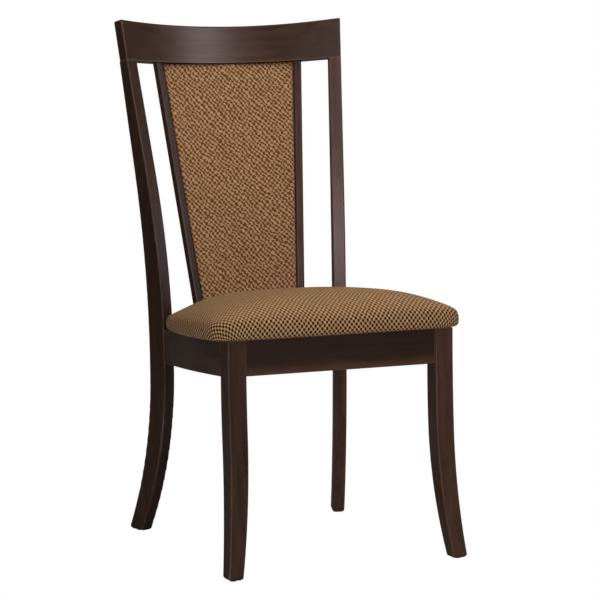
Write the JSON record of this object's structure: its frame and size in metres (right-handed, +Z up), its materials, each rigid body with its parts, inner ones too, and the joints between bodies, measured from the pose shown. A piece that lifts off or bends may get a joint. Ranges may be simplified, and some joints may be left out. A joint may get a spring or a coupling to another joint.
{
  "type": "side chair",
  "caption": "Wooden side chair with a dark stained frame, a bowed crest rail, splayed curved legs, a crowned fabric seat pad and a fabric back panel held between slender stiles.",
  "frame": {"origin": "centre of the chair's box in plan, on the floor", "axes": "+Z up, front of the chair towards -Y, +X to the right of a viewer who faces the chair"},
  "size_m": [0.503, 0.5994, 1.003],
  "materials": {
    "stained_wood": "dark espresso stain under a satin lacquer",
    "plain_wood": "unfinished hardwood, inside the frame",
    "plywood": "unfinished plywood",
    "foam": "upholstery foam",
    "woven_fabric": "two-tone basket weave, tan and dark brown, matt",
    "lining": "thin black lining",
    "steel": "zinc plated",
    "glide_plastic": "dark nylon, with its nail"
  },
  "bodies": {
    "root": {"crest_rail": "stained_wood", "back_post_left": "stained_wood", "back_post_right": "stained_wood", "back_stile_left": "stained_wood", "back_stile_right": "stained_wood", "front_leg_left": "stained_wood", "front_leg_right": "stained_wood", "front_apron": "stained_wood", "side_apron_left": "stained_wood", "side_apron_right": "stained_wood", "rear_rail": "stained_wood", "corner_block_front_left": "plain_wood", "corner_block_front_right": "plain_wood", "corner_block_rear_left": "plain_wood", "corner_block_rear_right": "plain_wood", "crest_dowels": "plain_wood", "stile_dowels": "plain_wood", "front_apron_dowels": "plain_wood", "side_apron_dowels": "plain_wood", "rear_rail_dowels": "plain_wood", "seat_board": "plywood", "back_board": "plywood", "seat_foam": "foam", "back_foam": "foam", "seat_cover": "woven_fabric", "back_cover_front": "woven_fabric", "back_cover_rear": "woven_fabric", "dust_cover": "lining", "corner_block_screws": "steel", "seat_screws": "steel", "glides": "glide_plastic"}
  },
  "joints": []
}
